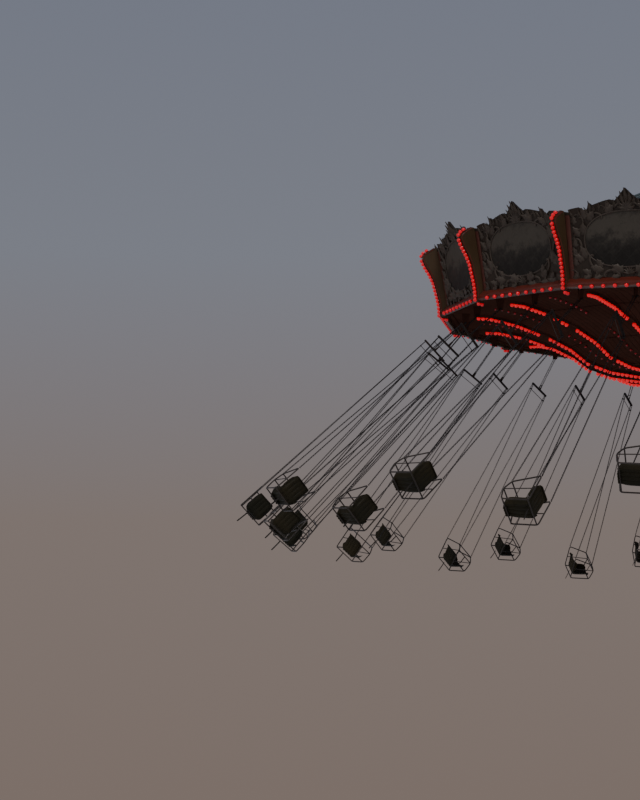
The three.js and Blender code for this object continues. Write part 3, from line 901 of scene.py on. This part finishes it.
# A faint diagonal trellis in lines 10 mm wide.
lattice = []
for angle in (45, -45):
    laid = add_node(tree, "Mapping", {"Rotation": (0, math.radians(angle), 0), "Vector": local})
    cut = add_node(tree, "SeparateXYZ", {0: laid}).outputs["X"]
    fold = add_node(tree, "Math", {"operation": "PINGPONG", 0: cut, 1: TRELLIS / 2})
    lattice.append(add_node(tree, "MapRange", {0: fold, 1: 0.003, 2: 0.006, 3: 1.0, 4: 0.0}))
lines = add_node(tree, "Math", {"operation": "MAXIMUM", 0: lattice[0], 1: lattice[1]})
faint = add_node(tree, "Math", {"operation": "MULTIPLY", 0: lines, 1: 0.05})
field_paint = add_node(tree, "Mix", {"data_type": "RGBA", 0: faint, 6: shade.outputs["Color"],
                                     7: "#6f6a5b"}).outputs[2]
whole = add_node(tree, "Mix", {"data_type": "RGBA", 0: inside, 6: base_colour(tree), 7: field_paint})
feed(tree, "Base Color", whole.outputs[2])
paint_node("crest_panels", ground)


def scroll(length, turning, thick, s_shaped=False, knots=20):
    """A carved scroll lying along Y, its middle at the origin: tight curls at the ends of a bow."""
    spans = [(k + 0.5) / (knots - 1) * 2 - 1 for k in range(knots - 1)]
    strides = [1 - 0.8 * abs(t) for t in spans]
    bends = [(0.10 + abs(t) ** 3) * (-1 if s_shaped and t < 0 else 1) for t in spans]
    scale = length / sum(strides)
    bend = turning / sum(abs(b) for b in bends)
    heading = -sum(b * bend for b in bends) / 2
    place = Vector((0, 0, 0))
    path = [place.copy()]
    for stride, amount in zip(strides, bends):
        heading += amount * bend
        place += Vector((0, math.cos(heading), math.sin(heading))) * stride * scale
        path.append(place.copy())
    middle = (path[knots // 2 - 1] + path[knots // 2]) / 2
    ends = [abs(k / (knots - 1) * 2 - 1) for k in range(knots)]
    radii = [thick * (0.38 + 0.62 * (1 - e * e)) for e in ends]
    radii[0] = radii[-1] = thick * 0.75
    made = tube([p - middle for p in path], 1.0, 6, radii=radii)
    made.data.transform(at(thick * 0.35, 0, 0) @ sized(0.85, 1, 1))
    return made


def leaf(width=0.34, lobes=3):
    """A carved leaf one unit tall that stands on the origin: lobed, ridged, its tip curling out."""
    made = primitive(bpy.ops.mesh.primitive_uv_sphere_add, segments=8, ring_count=8, radius=1)
    for corner in made.data.vertices:
        along = (corner.co.z + 1) / 2
        ring = math.hypot(corner.co.x, corner.co.y)
        front = corner.co.x / ring if ring > 1e-6 else 0
        across = corner.co.y / ring if ring > 1e-6 else 0
        swell = math.sin(math.pi * along ** 0.75) ** 0.8 if 0 < along < 1 else 0
        swell *= 1 + 0.28 * math.cos(2 * math.pi * lobes * along)
        depth = 0.16 * math.sin(math.pi * min(along * 0.8 + 0.1, 1))
        corner.co = (max(front, -0.1) * depth * (1 - 0.5 * abs(across)) + 0.22 * along ** 3,
                     across * width * swell, along)
    return made


c_scroll = scroll(0.56, 4.4 * math.pi, 0.026)
s_scroll = scroll(0.56, 3.9 * math.pi, 0.024, s_shaped=True)
broad = leaf()
blade = leaf(0.16, 2)

# Each row is a casting's place on the right half of a panel: across, height, angle, size.
CASTINGS = (
    (c_scroll, (
        (0.26, 0.245, 183, 0.80), (0.765, 0.60, 268, 0.78), (0.735, 0.93, 285, 0.62),
        (0.22, 1.175, 350, 0.66), (0.86, 0.24, 222, 0.50), (0.86, 1.08, 150, 0.36),
        (0.45, 0.165, 8, 0.42), (0.40, 1.195, 190, 0.34))),
    (s_scroll, ((0.60, 0.33, 35, 0.82), (0.53, 1.095, 155, 0.70), (0.87, 0.80, 92, 0.42))),
    (broad, (
        (0.09, 0.21, -58, 0.21), (0.13, 0.255, -92, 0.17), (0.42, 0.25, -75, 0.20), (0.44, 0.29, -30, 0.15),
        (0.70, 0.43, -20, 0.20), (0.73, 0.40, -58, 0.18), (0.75, 0.78, 12, 0.19), (0.80, 0.76, -30, 0.17),
        (0.66, 1.00, 48, 0.18), (0.70, 1.01, -8, 0.17), (0.36, 1.10, 62, 0.19), (0.33, 1.12, 18, 0.13),
        (0.875, 0.32, 4, 0.15), (0.875, 0.46, -4, 0.15), (0.875, 0.60, 4, 0.15), (0.880, 0.94, 2, 0.14),
        (0.92, 0.10, 38, 0.17), (0.76, 0.11, 66, 0.18), (0.60, 0.12, 78, 0.17), (0.62, 0.20, -62, 0.15),
        (0.30, 0.13, 82, 0.17))),
    (blade, (
        (0.605, 1.110, 0, 0.160), (0.565, 1.09, 26, 0.13), (0.64, 1.08, -24, 0.12), (0.80, 1.05, 6, 0.118),
        (0.75, 1.03, -20, 0.12), (0.90, 1.04, -14, 0.118), (0.27, 1.16, -22, 0.120), (0.20, 1.15, 2, 0.125),
        (0.46, 1.12, 10, 0.125), (0.10, 1.16, -16, 0.16), (0.05, 1.17, -6, 0.21))),
)
pieces = []
for casting, places in CASTINGS:
    for across, height, angle, size in places:
        for mirrored in (1, -1):
            pieces.append(copy_of(casting, sized(1, mirrored, 1) @ at(OFF_FACE, across, height)
                                  @ about("X", math.radians(angle)) @ sized(size, size, size)))
# A fan of blades above the field's foot and another under the crest, with a tall blade over it.
for angle in range(-75, 76, 25):
    for foot, size in ((0.185, 0.115), (1.125, 0.15)):
        pieces.append(copy_of(blade, at(OFF_FACE, 0, foot) @ about("X", math.radians(angle))
                              @ sized(size, size * 1.3, size)))
pieces.append(copy_of(blade, at(OFF_FACE, 0, 1.19) @ sized(0.2, 0.235, 0.235)))
ring = []
for k in range(64):
    turn = (math.cos(k * math.pi / 32), math.sin(k * math.pi / 32))
    across, height = (math.copysign(abs(t) ** (2 / FIELD_POWER), t) for t in turn)
    ring.append(Vector((0.006, across * FIELD_HALF_WIDTH, FIELD_MIDDLE + height * FIELD_HALF_HEIGHT)))
pieces.append(tube(ring, 0.012, 6, closed=True))
carving = on_panel(join(pieces, "carving"))
close_up()
for i, middle in enumerate(MIDDLES):
    frame_carving = copy_of(carving, CROWN @ about("Z", middle))
    frame_carving.name = f"carved_frame_{i + 1:02d}"
    fix_to(frame_carving, "crown", carving_paint, angle=50)
for piece in (c_scroll, s_scroll, broad, blade, carving):
    bpy.data.objects.remove(piece)

# Panel fillets
# Timber fillets, rounded and painted red-brown, close the joint between each panel and the ribs
# beside it. They are screwed on over the castings' ends and follow the panel's flare.
FILLET_ACROSS = 0.937
FILLET_FOOT = 0.085
fillets = []
for across in (-FILLET_ACROSS, FILLET_ACROSS):
    strip = plate([(0.0005, -0.036), (0.008, -0.034), (0.013, -0.022), (0.013, 0.022), (0.008, 0.034),
                   (0.0005, 0.036)], 1.0)
    strip.data.transform(at(0, across, FILLET_FOOT))
    for height in (0.3, 0.5, 0.65, 0.8, 0.9, 1.0):
        edit_all(bpy.ops.mesh.bisect, plane_co=(0, 0, height), plane_no=(0, 0, 1))
    for corner in strip.data.vertices:
        corner.co.y *= read_off(PANEL_FACE, corner.co.z) / PANEL_FACE[0][1]
    fillets.append(on_panel(strip))
# The rim's enamel, older: flat, red-brown and dusty.
fillet_brown = aged_paint("brown fillet enamel", "#552c23", "#633a31", "#2c1712", 0.6, chips="#6f5c4a")
fillet_set = round_about(join(fillets, "fillets"), SIDES, "panel_fillets", STEP / 2, CROWN)
fix_to(fillet_set, "crown", fillet_brown)

# Roof
# A low sixteen-sided cone of painted sheet behind the cresting, with rolled battens on its hips
# and over the sheet joints.
ROOF_FOOT = (5.115, 0.700)
ROOF_HEAD = (0.520, 2.9975)
BATTEN_RISE = 0.006
# The house roof's sheet paint, more weathered: grey-teal with rain streaks.
paint_node("roof", aged_paint("weathered slate teal paint", SLATE, "#5f6969", "#262b28", 0.45,
                              chips="#7f8a80", place=crown_place))
# Each batten's place in half sides from a side's middle, its radius and its end along the slope.
battens = []
for part, radius, end in ((-1.0, 0.024, 0.992), (-0.5, 0.012, 0.90), (0.0, 0.012, 0.90), (0.5, 0.012, 0.90)):
    low, high = (Vector((r, r * HALF_SIDE * part, z + BATTEN_RISE)) for r, z in (ROOF_FOOT, ROOF_HEAD))
    start = low.lerp(high, 0.004)
    stop = low.lerp(high, end)
    battens.append(tube([start, start.lerp(stop, 0.5), stop], radius))
roof_battens = round_about(join(battens, "battens"), SIDES, "roof_battens", STEP / 2, CROWN)
fix_to(roof_battens, "crown", teal_sheet)

# Finial
# A turned and gilded vase on the king post's cap. Forty-eight cast pearls stand on the collar at
# its foot.
paint_node("finial", gilt)
pearl = primitive(bpy.ops.mesh.primitive_uv_sphere_add, segments=8, ring_count=6, radius=0.028,
                  location=(0.47, 0, ROOF_HEAD[1] + 0.073))
fix_to(round_about(pearl, 48, "finial_pearls", 0.0, CROWN), "crown", gilt)

# Chairs
# Each chair hangs from a pinned lug: two short chains, a forged stem and a spreader bar, then four
# long chains to a cradle of bent tube that holds a ribbed, moulded seat. The ride flies them out.
CHAIRS = 32
FLY_OUT = math.radians(45)
SWAY = math.radians(3)
HANG = (4.85, -0.110)
# Heights under the pin.
SPREADER = -0.72
ROD = -0.84
STEM_TOP = SPREADER + 0.096
SEAT = -4.93
SIDE = 0.224
SHORT_CHAIN = 0.0205
PIN_HALF = 0.036
LINK_PITCH = 0.026
WIRE = 0.0040
LINK_HALF_WIDTH = 0.0074
TUBE = 0.0105

# Oiled steel: near-black with a dull metal glint on each link.
chain_steel = aged_paint("oiled steel chain", "#2a2625", "#383331", "#1b1714", 0.48, metal=0.5, streaks=0.4)
# Black enamel on forgings: flat, and rusty where it is chipped.
dark_steel = aged_paint("black spreader enamel", "#211c1a", "#2e2926", "#4a3323", 0.6, chips="#5e402d",
                        shine=0.1)
# Brown enamel on bent tube: a soft line of light along each tube, with pale rubbed places.
tube_paint = aged_paint("brown tube enamel", "#3b342f", "#524a44", "#221b16", 0.38, metal=0.3,
                        chips="#7b6a58")
# Rotationally moulded polyethylene: waxy dark green, bleached brown in streaks.
seat_plastic = aged_paint("moulded green polyethylene", "#24231a", "#38301f", "#1a140d", 0.6,
                          streaks=0.45, shine=0.1)
# Woven polyester, its threads too fine to show: a flat charcoal.
webbing = aged_paint("black polyester webbing", "#2c2826", "#3b3632", "#4a4238", 0.75)


def chain(start, end):
    """Links from one point to another, each turned a quarter from the last."""
    run = Vector(end) - Vector(start)
    pairs = max(1, round(run.length / (2 * LINK_PITCH)))
    pitch = run.length / (2 * pairs)
    link = primitive(bpy.ops.mesh.primitive_torus_add, major_segments=4, minor_segments=3,
                     minor_radius=WIRE, major_radius=LINK_HALF_WIDTH * math.sqrt(2))
    link.data.transform(about("Y", QUARTER) @ about("Z", math.pi / 4))
    for corner in link.data.vertices:
        corner.co.z += math.copysign(pitch / 2 + WIRE - LINK_HALF_WIDTH, corner.co.z)
    crossed = copy_of(link, at(0, 0, pitch) @ about("Z", QUARTER))
    made = modified(join([link, crossed], "chain"), "ARRAY", count=pairs, use_relative_offset=False,
                    use_constant_offset=True, constant_offset_displace=(0, 0, 2 * pitch))
    aim = run.to_track_quat("Z", "Y").to_matrix().to_4x4()
    made.data.transform(at(*start) @ aim @ about("Z", math.pi / 4) @ at(0, 0, pitch / 2))
    return made


def bar(start, end, radius, sides=8):
    """A round bar between two points."""
    return tube([Vector(start), Vector(end)], radius, sides)


parts = []


def add(piece, finish):
    """Adds a piece in its finish to the chair."""
    parts.append(finished(piece, finish))


for y in (-SHORT_CHAIN, SHORT_CHAIN):
    add(chain((0, y, 0.004), (0, y, STEM_TOP)), chain_steel)
add(bar((0, -PIN_HALF, 0), (0, PIN_HALF, 0), 0.0085), chain_steel)
for y in (-PIN_HALF, PIN_HALF):
    nut = bolt_head(0.014, 0.008)
    nut.data.transform(at(0, y, 0) @ about("X", math.copysign(QUARTER, -y)))
    add(nut, chain_steel)

# Two forged cheeks narrow upwards to a cross pin, and stand on the spreader bar.
CHEEK = ((-0.018, 0.012), (0.018, 0.012), (0.014, 0.045), (0.010, 0.098), (0.0, 0.107), (-0.010, 0.098),
         (-0.014, 0.045))
for y in (-SHORT_CHAIN, SHORT_CHAIN):
    cheek = plate([(x, SPREADER + z) for x, z in CHEEK], 0.008)
    cheek.data.transform(at(0, y + 0.004, 0) @ about("X", QUARTER))
    add(soften(cheek, 0.0015), dark_steel)
add(bar((0, -0.03, STEM_TOP), (0, 0.03, STEM_TOP), 0.0075), chain_steel)
spreader = plate([(-0.249, -0.012), (-0.238, -0.020), (0.238, -0.020), (0.249, -0.012), (0.249, 0.012),
                  (0.238, 0.020), (-0.238, 0.020), (-0.249, 0.012)], 0.030)
spreader.data.transform(at(0, 0, SPREADER - 0.015))
add(soften(spreader, 0.006, 2), dark_steel)
for x in (-SIDE, SIDE):
    add(bar((x, -0.023, SPREADER - 0.021), (x, 0.023, SPREADER - 0.021), 0.008), chain_steel)
add(bar((-SIDE, 0, ROD), (SIDE, 0, ROD), 0.006, 6), tube_paint)

# The cradle is a bent hexagon of tube on each side, with crossbars between them and a chain to
# each of its two top corners. Armrest straps join the front and back uprights.
CRADLE = ((-0.181, 0.326), (-0.252, 0.180), (-0.205, -0.023), (0.204, -0.028), (0.214, 0.456))
TOPS = ((-0.181, 0.340), (0.214, 0.470))
CROSSBARS = ((-0.181, 0.326), (-0.247, 0.180), (-0.190, -0.024), (0.190, -0.028))
for x in (-SIDE, SIDE):
    loop = smooth_path([(x, y, SEAT + z) for y, z in CRADLE], 0.045, closed=True)
    add(tube(loop, TUBE, closed=True), tube_paint)
    for y, z in TOPS:
        add(chain((x, math.copysign(0.014, y), SPREADER - 0.024), (x, y, SEAT + z)), chain_steel)
        foot = SEAT + z - 0.004
        add(bar((x - 0.012, y, foot), (x + 0.0105, y, foot), 0.0065, 6), chain_steel)
    clamp = plate([(-0.010, -0.030), (0.010, -0.030), (0.010, 0.030), (-0.010, 0.030)], 0.016)
    clamp.data.transform(at(x, 0, ROD - 0.008))
    add(soften(clamp, 0.003), dark_steel)
for y, z in CROSSBARS:
    add(bar((-SIDE, y, SEAT + z), (SIDE, y, SEAT + z), TUBE * 0.95), tube_paint)
for x in (0.002 - SIDE, SIDE - 0.002):
    add(bar((x, -0.247, SEAT + 0.180), (x, 0.208, SEAT + 0.205), 0.0075), tube_paint)

# The seat is one rotational moulding, its back and front lips rolled over, with ribs.
SEAT_LINE = smooth_path([(0, -0.212, -0.046), (0, -0.200, 0.004), (0, 0.168, -0.012), (0, 0.204, 0.372),
                         (0, 0.226, 0.382), (0, 0.230, 0.356)], 0.075, steps=4)
SEAT_WALL = 0.007


def along_line(line, part):
    """The point a part of the way along a line, by its length."""
    lengths = [(b - a).length for a, b in zip(line, line[1:])]
    left = part * sum(lengths)
    for a, b, length in zip(line, line[1:], lengths):
        if left <= length:
            return a.lerp(b, left / length)
        left -= length
    return line[-1].copy()


shell = primitive(bpy.ops.mesh.primitive_grid_add, x_subdivisions=22, y_subdivisions=15, size=2)
for corner in shell.data.vertices:
    across, part = corner.co.x, (corner.co.y + 1) / 2
    place = along_line(SEAT_LINE, part)
    wing = max(0.0, (abs(across) - 0.60) / 0.40)
    rib = 0.010 * max(0.0, math.cos(across * 5.5 * math.pi)) * (abs(across) < 0.82)
    seat_part = 1 - min(1.0, max(0.0, (place.z - 0.03) / 0.1))
    near_end = max(0.0, (abs(corner.co.y) - 0.60) / 0.40)
    corner.co = (across * (0.184 - 0.010 * wing) * (1 - 0.34 * near_end ** 2),
                 place.y - (0.070 * wing ** 2 + rib) * (1 - seat_part) * (part < 0.93),
                 SEAT + place.z + (0.075 * wing ** 2 + rib) * seat_part)
modified(shell, "SOLIDIFY", thickness=SEAT_WALL, offset=1.0)
close_up()
add(shell, seat_plastic)

# A belt runs from the lap bar down between the knees, and its loose tail hangs under the seat.
BELTS = (
    ((0, -0.262, 0.180), (0, -0.240, 0.168), (0, -0.222, 0.090), (0, -0.206, 0.016), (0, -0.150, 0.012)),
    ((0.060, 0.150, -0.030), (0.062, 0.156, -0.110), (0.066, 0.168, -0.190), (0.071, 0.176, -0.255)),
)
BELT_HALF = 0.011
for line in BELTS:
    band = primitive(bpy.ops.mesh.primitive_grid_add, x_subdivisions=1, y_subdivisions=8, size=2)
    path = smooth_path(line, 0.03, steps=2)
    for corner in band.data.vertices:
        place = along_line(path, (corner.co.y + 1) / 2)
        corner.co = (place.x + corner.co.x * BELT_HALF, place.y, SEAT + place.z)
    add(modified(band, "SOLIDIFY", thickness=0.0025), webbing)

chair = join(parts, "chair")
bpy.ops.object.transform_apply(location=True, rotation=True, scale=True)
bpy.ops.object.shade_smooth_by_angle(angle=math.radians(40))
for i in range(CHAIRS):
    azimuth = i * 2 * math.pi / CHAIRS
    sway = SWAY if i % 2 == 0 else -SWAY
    flown_out = FLY_OUT + sway + LEAN * math.cos(azimuth + CROWN_TURN + QUARTER)
    flown = copy_of(chair, CROWN @ about("Z", azimuth) @ at(HANG[0], 0, HANG[1]) @ about("Y", -flown_out))
    flown.name = f"swing_chair_{i + 1:02d}"
    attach(flown, f"chair_{i + 1:02d}")
    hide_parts(f"chair_{i + 1:02d}")
bpy.data.objects.remove(chair)
